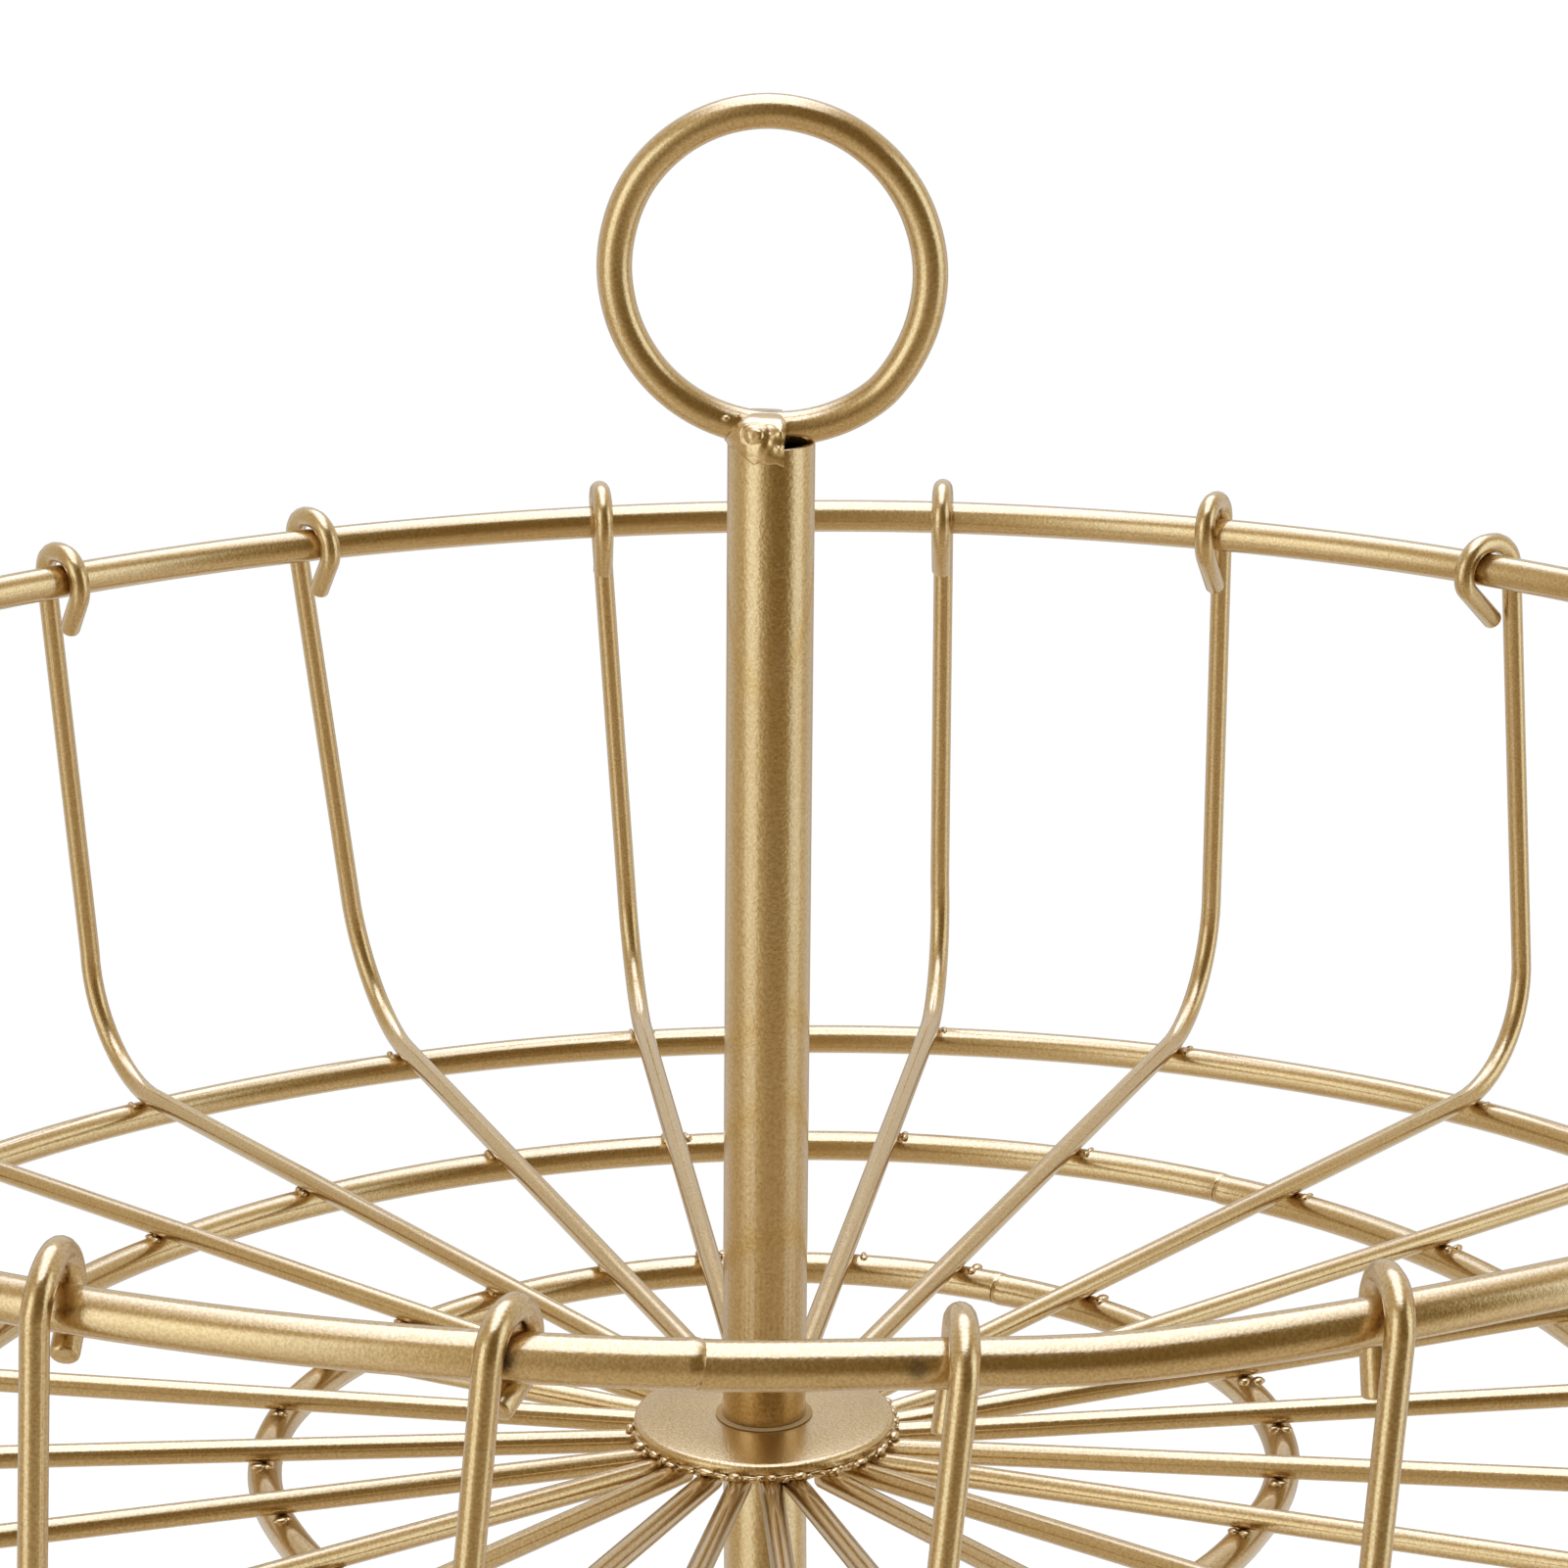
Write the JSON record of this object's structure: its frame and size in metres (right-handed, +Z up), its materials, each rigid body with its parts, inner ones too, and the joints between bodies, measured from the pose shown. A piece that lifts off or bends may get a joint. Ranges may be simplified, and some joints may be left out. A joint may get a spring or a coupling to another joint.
{
  "type": "two-tier fruit basket",
  "caption": "Tiered fruit basket: round open wire bowls on a screwed centre pole, with a ring handle on top to carry it by.",
  "frame": {"origin": "middle of the base, on the pole's axis, at the height of the surface that the lower floor rings stand on", "axes": "+Z up along the pole; the ring handle lies in the XZ plane, so -Y is the side that faces the viewer"},
  "size_m": [0.3726, 0.3727, 0.3571],
  "materials": {
    "wire_paint": "satin metallic gold paint on steel wire",
    "plate_paint": "matte gold paint with a fine grain",
    "pole_paint": "satin metallic gold paint with a fine grain",
    "zinc_steel": "zinc plated",
    "nylon": "thin translucent nylon"
  },
  "bodies": {
    "lower_tier": {"base_screw": "zinc_steel", "lower_floor_ring_inner": "wire_paint", "lower_floor_ring_middle": "wire_paint", "lower_floor_ring_outer": "wire_paint", "lower_plate": "plate_paint", "lower_pole": "pole_paint", "lower_pole_bottom_plug": "zinc_steel", "lower_pole_top_plug": "zinc_steel", "lower_rim": "wire_paint", "lower_spoke_01": "wire_paint", "lower_spoke_02": "wire_paint", "lower_spoke_03": "wire_paint", "lower_spoke_06": "wire_paint", "lower_spoke_09": "wire_paint", "lower_spoke_10": "wire_paint", "lower_spoke_15": "wire_paint", "lower_spoke_16": "wire_paint", "lower_spoke_19": "wire_paint", "lower_spoke_20": "wire_paint", "lower_spoke_21": "wire_paint", "lower_spoke_24": "wire_paint", "lower_spokes_04_05": "wire_paint", "lower_spokes_07_08": "wire_paint", "lower_spokes_11_12": "wire_paint", "lower_spokes_13_14": "wire_paint", "lower_spokes_17_18": "wire_paint", "lower_spokes_22_23": "wire_paint"},
    "upper_basket": {"upper_floor_ring_inner": "wire_paint", "upper_floor_ring_middle": "wire_paint", "upper_floor_ring_outer": "wire_paint", "upper_plate": "plate_paint", "upper_rim": "wire_paint", "upper_spoke_01": "wire_paint", "upper_spoke_02": "wire_paint", "upper_spoke_03": "wire_paint", "upper_spoke_04": "wire_paint", "upper_spoke_05": "wire_paint", "upper_spoke_06": "wire_paint", "upper_spoke_07": "wire_paint", "upper_spoke_08": "wire_paint", "upper_spoke_09": "wire_paint", "upper_spoke_10": "wire_paint", "upper_spoke_11": "wire_paint", "upper_spoke_12": "wire_paint", "upper_spoke_13": "wire_paint", "upper_spoke_14": "wire_paint", "upper_spoke_15": "wire_paint", "upper_spoke_16": "wire_paint", "upper_spoke_17": "wire_paint", "upper_spoke_18": "wire_paint", "upper_spoke_19": "wire_paint", "upper_spoke_20": "wire_paint", "upper_spoke_21": "wire_paint", "upper_spoke_22": "wire_paint", "upper_spoke_23": "wire_paint", "upper_spoke_24": "wire_paint"},
    "pole_washer": {"pole_washer": "nylon"},
    "upper_pole": {"upper_pole": "pole_paint", "pole_stud": "zinc_steel", "ring_handle": "wire_paint"}
  },
  "joints": [
    {"name": "tray_turn", "type": "hinge", "parent": "lower_tier", "child": "upper_basket", "pos_m": [0, 0, 0.1988], "axis": [0, 0, 1], "continuous": true},
    {"name": "pole_rise", "type": "slide", "parent": "lower_tier", "child": "pole_washer", "axis": [0, 0, 1], "range_m": [0, 0.009]},
    {"name": "handle_turn", "type": "hinge", "parent": "pole_washer", "child": "upper_pole", "pos_m": [0, 0, 0.2], "axis": [0, 0, 1], "range_deg": [0, 3240]}
  ],
  "couplings": [
    {"joint": "pole_rise", "follows": "handle_turn", "m_per_rad": 0.00015915}
  ]
}
